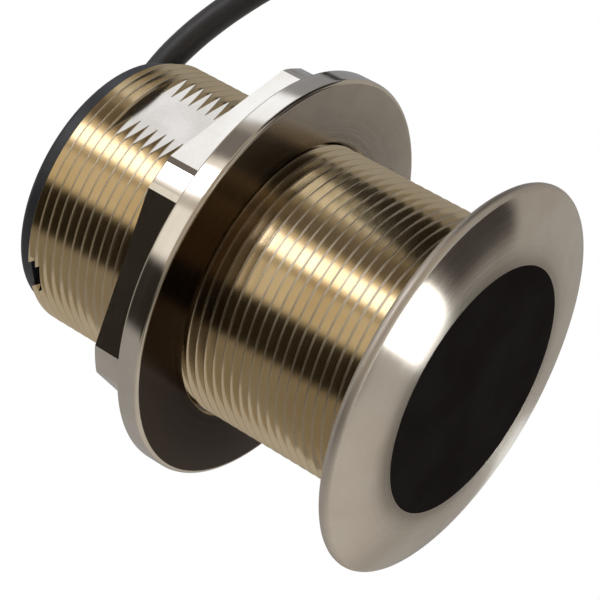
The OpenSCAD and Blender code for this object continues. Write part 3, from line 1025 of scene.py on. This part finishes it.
@dataclass
class HullNut:
    """Flanged hexagon nut with turned corners."""

    disc_r: float = 42.0 * MM
    disc_h: float = 4.7 * MM
    hex_w: float = 69.85 * MM
    hex_sides: int = 6
    corner_r: float = 38.75 * MM
    corner_ease: float = 0.16 * MM
    front_round: float = 0.8 * MM
    front_steps: int = 12
    back_round: float = 0.4 * MM
    back_steps: int = 10
    countersink: float = 0.4 * MM
    bore_gap: float = 0.3 * MM
    angle: float = -50.8
    seat_facing: float = -0.999
    sides: int = 180
    crease: float = 10.0
    piece: bpy.types.Object = field(init=False)

    @property
    def bore_r(self) -> float:
        """Radius of the bore, clear of the thread's crests."""
        return Housing.crest_r + self.bore_gap

    def back_edge(self, radius: float, height: float) -> list[Point]:
        """Rounded edge at the back of a turned face."""
        r = self.back_round
        return arc((radius - r, height - r), r, 0, 90, self.back_steps)

    def build(self) -> None:
        """Joins the disc and the hexagon, then cuts the bore."""
        low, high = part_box("hull_nut")
        front, back = low.z, high.z
        step, middle = front + self.disc_h, front + self.disc_h / 2
        lip = self.front_round
        front_edge = arc((self.disc_r - lip, front + lip), lip, -90, 0, self.front_steps)
        disc = [(0.0, front), *front_edge, *self.back_edge(self.disc_r, step), (0.0, step)]
        self.piece = turned("bronze_nut", disc, self.sides)
        corners = [(0.0, middle), (self.corner_r, middle), *self.back_edge(self.corner_r, back), (0.0, back)]
        hexagon = turned("hexagon", corners, self.sides)
        lean = math.degrees(math.acos(self.hex_w / 2 / self.corner_r)) / 2
        eased_w = 2 * (self.corner_r * math.cos(math.radians(lean)) - self.corner_ease)
        for width, turn in ((self.hex_w, 0.0), (eased_w, lean), (eased_w, -lean)):
            bar = self.hexagon_bar(width, turn, middle - OVERCUT, back + OVERCUT)
            combine(hexagon, bar, Cut.KEEP_COMMON)
        combine(self.piece, hexagon, Cut.JOIN)
        sink, wide = self.countersink, self.bore_r + self.countersink + OVERCUT
        bore = [
            (0.0, front - OVERCUT), (wide, front - OVERCUT), (self.bore_r, front + sink),
            (self.bore_r, back - sink), (wide, back + OVERCUT), (0.0, back + OVERCUT),
        ]
        combine(self.piece, turned("bore_cutter", bore, self.sides), Cut.REMOVE)
        smooth(self.piece, self.crease)

    def hexagon_bar(self, width: float, turn: float, low: float, high: float) -> bpy.types.Object:
        """Six-sided bar that the hexagon, or the easing of its corners, is cut from.

        Args:
            width: Width across its flats.
            turn: Angle from the hexagon's own sides.
            low: Height of its foot.
            high: Height of its top.

        Returns:
            The bar.
        """
        half_side = 180 / self.hex_sides
        reach = width / 2 / math.cos(math.radians(half_side))
        place = turn_z(self.angle + turn - half_side)
        section = [(0.0, low), (reach, low), (reach, high), (0.0, high)]
        return turned("hexagon_bar", section, self.hex_sides, place)

    def dress(self) -> None:
        """Bright satin bronze, with painted shade on the seat at the front, darkest on the -X side."""
        dress(self.piece, NUT_BRONZE, SHADED_SEAT_BRONZE)
        for face in self.piece.data.polygons:
            # Faces looking straight forward take the seat's painted shade
            face.material_index = int(face.normal.z < self.seat_facing)
        carry(self.piece, Body.NUT, "nut_bronze", "hull_nut")


@dataclass
class RearCap:
    """Moulded cap on the rear rim, with a turret that turns the cable sideways, and its strain relief."""

    rim_z: float = Housing.stem_h
    head_r: float = 27.0 * MM
    head_h: float = 3.4 * MM
    head_sides: int = 144
    edge_r: float = 1.2 * MM
    edge_steps: int = 8
    groove_in: float = 4.0 * MM
    groove_w: float = 1.6 * MM
    groove_slope: float = 0.4 * MM
    groove_depth: float = 0.5 * MM
    plug_r: float = Housing.bore_r - FIT_GAP
    plug_h: float = 8.0 * MM
    turret_r: float = 7.5 * MM
    turret_h: float = 11.4 * MM
    turret_sides: int = 72
    turret_edge_r: float = 3.4 * MM
    turret_steps: int = 10
    fillet_r: float = 1.0 * MM
    fillet_steps: int = 5
    exit_y: float = 2.0 * MM
    exit_h: float = 7.0 * MM
    tilt: float = 4.0
    relief_l: float = 18.0 * MM
    relief_sides: int = 64
    shank_l: float = 7.0 * MM
    shank_r: float = 4.2 * MM
    tip_r: float = 3.6 * MM
    tip_edge: float = 0.3 * MM
    grooves: Grooves = Grooves(4, 2.6 * MM, 2.0 * MM, 0.7 * MM, 0.35 * MM, 0.175 * MM)
    cap: bpy.types.Object = field(init=False)
    relief: bpy.types.Object = field(init=False)

    @property
    def top_z(self) -> float:
        """Height of the head's top."""
        return self.rim_z + self.head_h

    def relief_place(self) -> Matrix:
        """Where the strain relief's axis lies, with its length along the local +Z."""
        spot = Matrix.Translation((0.0, self.exit_y, self.top_z + self.exit_h))
        return spot @ Matrix.Rotation(math.radians(90 + self.tilt), 4, "Y")

    def head_profile(self) -> list[Point]:
        """Section of the plug and the head, with the fine groove on its top.

        Returns:
            Radius and height of each corner.
        """
        top, foot = self.top_z, self.rim_z - self.plug_h
        plug = [(0.0, foot), (self.plug_r, foot), (self.plug_r, self.rim_z), (self.head_r, self.rim_z)]
        edge = arc((self.head_r - self.edge_r, top - self.edge_r), self.edge_r, 0, 90, self.edge_steps)
        outer_r = self.head_r - self.groove_in
        inner_r = outer_r - self.groove_w
        groove = [
            (outer_r, top), (outer_r - self.groove_slope, top - self.groove_depth),
            (inner_r + self.groove_slope, top - self.groove_depth), (inner_r, top),
        ]
        return [*plug, *edge, *groove, (0.0, top)]

    def turret_profile(self) -> list[Point]:
        """Section of the turret, from its fillet on the head to its rounded peak.

        Returns:
            Radius and height of each corner.
        """
        top, peak = self.top_z, self.top_z + self.turret_h
        foot_r = self.turret_r + self.fillet_r
        fillet = arc((foot_r, top + self.fillet_r), self.fillet_r, 270, 180, self.fillet_steps)
        edge_centre = (self.turret_r - self.turret_edge_r, peak - self.turret_edge_r)
        edge = arc(edge_centre, self.turret_edge_r, 0, 90, self.turret_steps)
        return [(0.0, top - OVERCUT), (foot_r, top - OVERCUT), *fillet, *edge, (0.0, peak)]

    def relief_profile(self) -> list[Point]:
        """Section of the strain relief: a shank and a taper with flexing grooves.

        Returns:
            Radius and height of each corner.
        """
        slope = (self.tip_r - self.shank_r) / (self.relief_l - self.shank_l)
        shank = [(0.0, FIT_GAP), (self.shank_r, FIT_GAP), (self.shank_r, self.shank_l)]
        taper = self.grooves.cut(self.shank_r, self.shank_l, slope)
        tip = [(self.tip_r, self.relief_l - self.tip_edge), (self.tip_r - self.tip_edge, self.relief_l)]
        return [*shank, *taper, *tip, (0.0, self.relief_l)]

    def build(self) -> None:
        """Builds the cap with its turret, and the grooved strain relief."""
        self.cap = turned("rear_cap_moulding", self.head_profile(), self.head_sides)
        offset = Matrix.Translation((0.0, self.exit_y, 0.0))
        combine(self.cap, turned("turret", self.turret_profile(), self.turret_sides, offset), Cut.JOIN)
        place = self.relief_place()
        hole_r = self.shank_r + FIT_GAP
        hole = [(0.0, 0.0), (hole_r, 0.0), (hole_r, self.relief_l), (0.0, self.relief_l)]
        combine(self.cap, turned("exit_cutter", hole, self.relief_sides, place), Cut.REMOVE)
        self.relief = turned("strain_relief_moulding", self.relief_profile(), self.relief_sides, place)
        for piece in (self.cap, self.relief):
            smooth(piece, MOULDED_CREASE)

    def dress(self) -> None:
        """Black plastic and rubber."""
        fit(self.cap, CAP_PLASTIC, "cap", "rear_cap")
        fit(self.relief, RELIEF_RUBBER, "relief", "strain_relief")


@dataclass
class Cable:
    """Cable from the strain relief to a tied coil, and its tail to the connector."""

    cap: RearCap
    radius: float = 3.0 * MM
    roundness: int = 4
    straight: float = 2.0 * MM
    run_steps: int = 18
    centre_x: float = 132.0 * MM
    side_shift: float = 23.0 * MM
    turns: int = 4
    layers: int = 8
    outer_turn_r: float = 57.0 * MM
    shift_deg: int = 48
    step_deg: int = 12
    tail_l: float = 34.0 * MM
    tail_steps: int = 8
    plug_z: float = 9.6 * MM
    tie_w: float = 12.0 * MM
    tie_h: float = 1.2 * MM
    tie_gap: float = 0.2 * MM
    tie_steps: int = 6
    tie_edge: float = 0.25 * MM
    tie_edge_steps: int = 2
    tie_edge_angle: float = 50.0
    tie_crease: float = 35.0
    curve: bpy.types.Object = field(init=False)
    ties: bpy.types.Object = field(init=False)

    @property
    def spacing(self) -> float:
        """Distance from one turn to the next."""
        return 2 * self.radius

    @property
    def bottom_z(self) -> float:
        """Height of the lowest layer's centreline."""
        return self.tie_h + self.tie_gap + self.radius

    @property
    def top_z(self) -> float:
        """Height of the highest layer's centreline."""
        return self.bottom_z + (self.layers - 1) * self.spacing

    @property
    def centre(self) -> Vector:
        """Middle of the coil on the ground."""
        return Vector((self.centre_x, self.cap.exit_y + self.side_shift - self.outer_turn_r, 0.0))

    @property
    def layer_turn(self) -> int:
        """Degrees from the start of one layer to the start of the next."""
        return 360 * self.turns - 2 * self.shift_deg

    @property
    def plug_start(self) -> Vector:
        """Where the cable meets the connector."""
        return Vector((self.centre_x - self.tail_l, self.centre.y - self.outer_turn_r, self.plug_z))

    def run(self) -> list[Vector]:
        """Points from the strain relief down to the coil's top layer.

        Returns:
            Points of the centreline.
        """
        place = self.cap.relief_place()
        reaches = (self.cap.relief_l, self.cap.relief_l + self.straight)
        start, bend = (place @ Vector((0.0, 0.0, reach)) for reach in reaches)
        span = self.centre_x - bend.x
        drop = self.top_z - bend.z
        slope = math.tan(math.radians(self.cap.tilt))
        shares = [i / self.run_steps for i in range(self.run_steps + 1)]
        falls = [drop * ease(t) - slope * span * t * (1 - t) ** 2 for t in shares]
        shifts = [self.side_shift * ease(t) for t in shares]
        return [start, *(bend + Vector((span * t, y, z)) for t, y, z in zip(shares, shifts, falls))]

    def coil_level(self, wound: float) -> tuple[float, float]:
        """Radius and height of the coil after some winding.

        Args:
            wound: Degrees wound since the start of the top layer.

        Returns:
            Radius and height of the centreline.
        """
        layer = min(int(wound // self.layer_turn), self.layers - 1)
        within = wound - layer * self.layer_turn
        track = sum(ease((within - 360 * k + self.shift_deg) / self.shift_deg) for k in range(1, self.turns))
        if layer % 2:
            track = self.turns - 1 - track
        dropped = layer - 1 + ease(within / self.shift_deg) if layer else 0
        return self.outer_turn_r - self.spacing * track, self.top_z - self.spacing * dropped

    def coil(self) -> list[Vector]:
        """Points of the coil, clockwise from above, without its first and last point.

        Returns:
            Points of the centreline.
        """
        least = (self.layers - 1) * self.layer_turn + 360 * (self.turns - 1)
        end = least + (180 - least) % 360
        points = []
        for wound in range(self.step_deg, end, self.step_deg):
            radius, height = self.coil_level(wound)
            a = math.radians(90 - wound)
            points.append(self.centre + Vector((radius * math.cos(a), radius * math.sin(a), height)))
        return points

    def tail(self) -> list[Vector]:
        """Points from the coil's lowest layer to the connector.

        Returns:
            Points of the centreline.
        """
        start = Vector((self.centre_x, self.plug_start.y, self.bottom_z))
        rise = self.plug_z - self.bottom_z
        bend = self.tail_l - self.straight
        shares = [i / self.tail_steps for i in range(self.tail_steps + 1)]
        return [*(start + Vector((-bend * t, 0.0, rise * ease(t))) for t in shares), self.plug_start]

    def route(self) -> list[Vector]:
        """Points of the whole centreline."""
        return [*self.run(), *self.coil(), *self.tail()]

    def length(self) -> float:
        """Length of the route."""
        points = self.route()
        return sum((b - a).length for a, b in zip(points, points[1:]))

    def build(self) -> None:
        """Builds the cable as one smooth curve, then the ties."""
        data = bpy.data.curves.new("cable", "CURVE")
        data.dimensions = "3D"
        data.bevel_depth = self.radius
        data.bevel_resolution = self.roundness
        data.resolution_u = self.roundness
        data.use_fill_caps = True
        line = data.splines.new("BEZIER")
        points = self.route()
        line.bezier_points.add(len(points) - 1)
        for knot, point in zip(line.bezier_points, points):
            knot.co = point
            knot.handle_left_type = knot.handle_right_type = "AUTO"
        self.curve = bpy.data.objects.new("cable", data)
        bpy.context.scene.collection.objects.link(self.curve)
        self.build_ties()

    def build_ties(self) -> None:
        """Builds two flat loops round the coil, on its +X and -X sides, as one piece."""
        low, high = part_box("coil_ties")
        half, h = self.tie_w / 2, self.tie_h
        far = high.x - self.centre_x
        inner_r = self.outer_turn_r - self.spacing * (self.turns - 1) - self.radius
        near = math.sqrt(inner_r**2 - half**2) - self.tie_gap - h
        outer = rounded((near, far), (low.z, high.z), self.radius, self.tie_steps)
        inner = rounded((near + h, far - h), (low.z + h, high.z - h), self.radius - h, self.tie_steps)
        shell = bmesh.new()
        for side in (1.0, -1.0):
            loops = []
            for path, across in ((outer, half), (outer, -half), (inner, -half), (inner, half)):
                spots = (self.centre + Vector((side * x, side * across, z)) for x, z in path)
                loops.append([shell.verts.new(spot) for spot in spots])
            bridge(shell, [*loops, loops[0]])
        self.ties = link_mesh("coil_straps", shell)
        edges = self.ties.modifiers.new("edges", "BEVEL")
        edges.width = self.tie_edge
        edges.segments = self.tie_edge_steps
        edges.limit_method = "ANGLE"
        edges.angle_limit = math.radians(self.tie_edge_angle)
        settle(self.ties)
        smooth(self.ties, self.tie_crease)

    def dress(self, with_pieces: Sequence[bpy.types.Object]) -> None:
        """Black jacket and straps, and a log of the cable's length.

        Args:
            with_pieces: Not used.
        """
        fit(self.curve, CABLE_JACKET, "cable", "cable_run", "cable_coil", "cable_tail")
        fit(self.ties, TIE_WEBBING, "tie", "coil_ties")
        tuple(self.run()[0])
        round(self.length(), 2)
        LOG.info("cable length: %.3f m", self.length())


@dataclass
class Connector:
    """Round connector at the cable's end, along -X."""

    cable: Cable
    boot_l: float = 13.0 * MM
    boot_r: float = 6.0 * MM
    boot_tip_r: float = 3.6 * MM
    ribs: Grooves = Grooves(4, 2.0 * MM, 2.3 * MM, 1.1 * MM, 0.45 * MM, 0.22 * MM)
    body_l: float = 15.0 * MM
    body_r: float = 7.7 * MM
    chamfer: float = 1.2 * MM
    waist: Grooves = Grooves(1, 4.0 * MM, 0.0, 6.5 * MM, 0.35 * MM, 0.5 * MM)
    sides: int = 72
    boot: bpy.types.Object = field(init=False)
    shell: bpy.types.Object = field(init=False)
    pieces: list[bpy.types.Object] = field(default_factory=list)

    def round_piece(self, name: str, outside: list[Point], start: float, length: float) -> bpy.types.Object:
        """Makes one turned piece on the connector's axis.

        Args:
            name: Name of the piece.
            outside: Section of its outside.
            start: Distance of its near end from the cable's end.
            length: Length of the piece.

        Returns:
            The piece.
        """
        spot = Matrix.Translation(self.cable.plug_start - Vector((start, 0.0, 0.0)))
        place = spot @ Matrix.Rotation(math.radians(-90), 4, "Y")
        piece = turned(name, [(0.0, 0.0), *outside, (0.0, length)], self.sides, place)
        smooth(piece, MOULDED_CREASE)
        return piece

    def build(self) -> None:
        """Builds the ribbed boot and the waisted body."""
        slope = (self.boot_r - self.boot_tip_r) / self.boot_l
        ribs = self.ribs.cut(self.boot_tip_r, slope=slope)
        boot = [(self.boot_tip_r, 0.0), *ribs, (self.boot_r, self.boot_l)]
        self.boot = self.round_piece("connector_boot_moulding", boot, 0.0, self.boot_l)
        edge = [(self.body_r - self.chamfer, 0.0), (self.body_r, self.chamfer)]
        body = [*edge, *self.waist.cut(self.body_r), (self.body_r, self.body_l)]
        self.shell = self.round_piece("connector_shell", body, self.boot_l, self.body_l)

    def dress(self) -> None:
        """Black rubber and plastic. The coupling ring, the insert and its contacts keep their solids."""
        fit(self.boot, RELIEF_RUBBER, "relief", "connector_boot")
        fit(self.shell, CONNECTOR_PLASTIC, "connector", "connector_body")
        self.pieces = [self.boot, self.shell, *dress_solids(CONNECTOR_FINISHES)]


@dataclass
class Core:
    """Acoustic window and what is cast into the bore: solids that keep their shape."""

    finishes: dict[str, Finish] = field(default_factory=lambda: dict(CORE_FINISHES))

    def dress(self) -> None:
        """Finish of each solid."""
        dress_solids(self.finishes)


# Studio

WHITE: Colour = (1.0, 1.0, 1.0)
SHADE: Colour = (0.02, 0.016, 0.012)


def directions(azimuth: float, elevation: float, roll: float = 0.0) -> tuple[Vector, Vector, Vector]:
    """Directions to a place in the studio, across it and up it.

    Args:
        azimuth: Turn about +Z, where 0 lies towards -Y and 90 towards +X.
        elevation: Angle above the ground.
        roll: Turn of the place about the first direction.

    Returns:
        Three unit directions.
    """
    a, e, turn = (math.radians(angle) for angle in (azimuth, elevation, roll))
    ahead = Vector((math.sin(a) * math.cos(e), -math.cos(a) * math.cos(e), math.sin(e)))
    across = Vector((math.cos(a), math.sin(a), 0.0))
    up = ahead.cross(across)
    c, s = math.cos(turn), math.sin(turn)
    return ahead, across * c + up * s, up * c - across * s


@dataclass(frozen=True)
class Panel:
    """Soft-edged panel of the studio, seen by the metal from its middle."""

    azimuth: float
    elevation: float
    half_w: float
    half_h: float
    tone: Colour
    edge: float
    least_depth: float = 0.02

    def mask(self, sh: Shader, ray: bpy.types.NodeSocket) -> bpy.types.NodeSocket:
        """Where a ray meets the panel.

        Args:
            sh: Node tree of the surroundings.
            ray: Direction of the ray.

        Returns:
            1 inside the panel and 0 outside it.
        """
        ahead, across, up = directions(self.azimuth, self.elevation)
        depth = sh.dot(ray, ahead)
        near = sh.calc("MAXIMUM", depth, self.least_depth)
        shares = [sh.calc("GREATER_THAN", depth, self.least_depth)]
        for axis, half in ((across, self.half_w), (up, self.half_h)):
            off = sh.calc("ABSOLUTE", sh.calc("DIVIDE", sh.dot(ray, axis), near))
            span = [math.tan(math.radians(half + side * self.edge / 2)) for side in (-1, 1)]
            shares.append(sh.remap(off, span, FALLING))
        return sh.product(*shares)


@dataclass(frozen=True)
class Fan:
    """Soft-edged fan of light or shade, spread about the direction that a level face mirrors."""

    roll: float
    half_angle: float
    near: float
    far: float
    tone: Colour
    edge: float
    azimuth: float = 180.0
    elevation: float = -26.0

    def mask(self, sh: Shader, ray: bpy.types.NodeSocket) -> bpy.types.NodeSocket:
        """Where a ray meets the fan.

        Args:
            sh: Node tree of the surroundings.
            ray: Direction of the ray.

        Returns:
            1 inside the fan and 0 outside it.
        """
        ahead, across, up = directions(self.azimuth, self.elevation, self.roll)
        turn = sh.calc("ABSOLUTE", sh.calc("ARCTAN2", sh.dot(ray, up), sh.dot(ray, across)))
        reach = sh.calc("ARCCOSINE", sh.dot(ray, ahead))
        shares = []
        for value, limit, sign in ((turn, self.half_angle, 1), (reach, self.far, 1), (reach, self.near, -1)):
            span = [math.radians(limit + sign * side * self.edge / 2) for side in (-1, 1)]
            shares.append(sh.remap(value, span, FALLING))
        return sh.product(*shares)


@dataclass(frozen=True)
class Lamp:
    """Soft square lamp that faces the origin and isn't mirrored in the metal."""

    name: str
    azimuth: float
    elevation: float
    distance: float
    size: float
    power: float

    def build(self) -> None:
        """Hangs the lamp in its place."""
        data = bpy.data.lights.new(self.name, "AREA")
        data.energy = self.power
        data.size = self.size
        lamp = bpy.data.objects.new(self.name, data)
        ahead = directions(self.azimuth, self.elevation)[0]
        lamp.location = ahead * self.distance
        lamp.rotation_mode = "QUATERNION"
        lamp.rotation_quaternion = ahead.to_track_quat("Z", "Y")
        lamp.visible_glossy = False
        lamp.visible_camera = False
        bpy.context.scene.collection.objects.link(lamp)


@dataclass
class Studio:
    """Camera, lamps, surroundings and floor."""

    # Camera's place and axes, fitted to the photograph
    eye: tuple[float, float, float] = (-2.9 * MM, -420.6 * MM, -168.8 * MM)
    right: tuple[float, float, float] = (0.4951, 0.3854, -0.7787)
    down: tuple[float, float, float] = (-0.8689, 0.2229, -0.442)
    lens: float = 147.6
    sensor_w: float = 36.0
    clip: Point = (0.01, 100.0)
    surround: Colour = (0.38, 0.355, 0.32)
    panels: tuple[Panel | Fan, ...] = (
        # Warm glow low in front, and dull sides
        Panel(0, -27, 60, 17, (0.38, 0.28, 0.17), 14),
        Panel(-115, 28, 58, 24, (0.34, 0.325, 0.315), 12),
        Panel(135, 28, 35, 24, (0.31, 0.315, 0.335), 12),
        # Bands along the stem, the rim and the nut's sides
        Panel(10, 28, 27, 13, (0.96, 0.91, 0.83), 8),
        Panel(82, 28, 12, 13, (1.15, 1.2, 1.3), 5),
        Panel(50, 28, 9, 13, (0.17, 0.15, 0.14), 5),
        Panel(25, 28, 6.5, 13, (3.7, 3.75, 4.2), 4),
        Panel(11, 28, 2.5, 13, (0.55, 0.5, 0.44), 3),
        # Dark flags on the -X side
        Panel(-42, 4, 19, 42, SHADE, 8),
        Panel(-62, -56, 14, 16, SHADE, 8),
        Panel(-112, -68, 14, 12, SHADE, 8),
        # Fans on the flange's crown
        Fan(-30, 50, 3, 70, (0.50, 0.46, 0.41), 40),
        Fan(-131, 21, 15, 62, (0.05, 0.042, 0.038), 12),
        Fan(-98.3, 9.2, 3, 62, (3.0, 3.0, 2.95), 2),
        Fan(87.5, 3.5, 14, 42, (0.85, 0.85, 0.83), 3),
        Fan(0, 180, -9, 6, (0.04, 0.032, 0.025), 4),
    )
    lamps: tuple[Lamp, ...] = (
        Lamp("key", 40.0, 50.0, 1.0, 0.7, 9.0),
        Lamp("fill", -120.0, 35.0, 1.2, 0.9, 5.0),
        Lamp("low", 20.0, -45.0, 1.0, 0.8, 4.0),
    )
    floor_size: float = 3.0
    floor_z: float = -0.2 * MM

    def build(self) -> None:
        """Sets up everything that isn't part of the object."""
        self.build_camera()
        self.build_surroundings()
        self.build_floor()
        for lamp in self.lamps:
            lamp.build()
        bpy.context.scene.view_settings.view_transform = "Standard"

    def build_camera(self) -> None:
        """Camera at the photograph's viewing angle."""
        data = bpy.data.cameras.new("camera")
        data.sensor_width = self.sensor_w
        data.lens = self.lens
        data.clip_start, data.clip_end = self.clip
        camera = bpy.data.objects.new("camera", data)
        right = Vector(self.right).normalized()
        up = -(Vector(self.down) - right * right.dot(Vector(self.down))).normalized()
        turn = Matrix((right, up, right.cross(up))).transposed().to_4x4()
        camera.matrix_world = Matrix.Translation(self.eye) @ turn
        bpy.context.scene.collection.objects.link(camera)
        bpy.context.scene.camera = camera

    def build_surroundings(self) -> None:
        """White behind the object, and panels and dark flags for the metal to reflect."""
        world = bpy.data.worlds.new("studio")
        world.use_nodes = True
        bpy.context.scene.world = world
        sh = Shader(world.node_tree)
        ray = sh.add("ShaderNodeTexCoord").outputs["Generated"]
        tone: object = self.surround
        for panel in self.panels:
            tone = sh.mix(panel.mask(sh, ray), tone, panel.tone)
        path = sh.add("ShaderNodeLightPath")
        seen = sh.calc("MAXIMUM", path.outputs["Is Camera Ray"], path.outputs["Is Transmission Ray"])
        light = sh.add("ShaderNodeBackground")
        sh.feed(sh.mix(seen, tone, WHITE), light.inputs["Color"])
        sh.end(light.outputs[0], Target.SURROUNDINGS)

    def build_floor(self) -> None:
        """Pale floor just under the acoustic face."""
        shell = bmesh.new()
        bmesh.ops.create_grid(shell, x_segments=1, y_segments=1, size=self.floor_size / 2)
        floor = link_mesh("floor", shell)
        floor.location.z = self.floor_z
        dress(floor, PALE_FLOOR)
        floor.visible_glossy = False
        floor.visible_shadow = False


def main() -> None:
    """Builds and dresses every sub-assembly in order."""
    logging.basicConfig(level=logging.INFO, format="%(message)s")
    Studio().build()
    cap = RearCap()
    for part in (Housing(), HullNut(), cap):
        part.build()
        part.dress()
    cable = Cable(cap)
    connector = Connector(cable)
    connector.build()
    connector.dress()
    cable.build()
    cable.dress(connector.pieces)
    Core().dress()


if __name__ == "__main__":
    main()
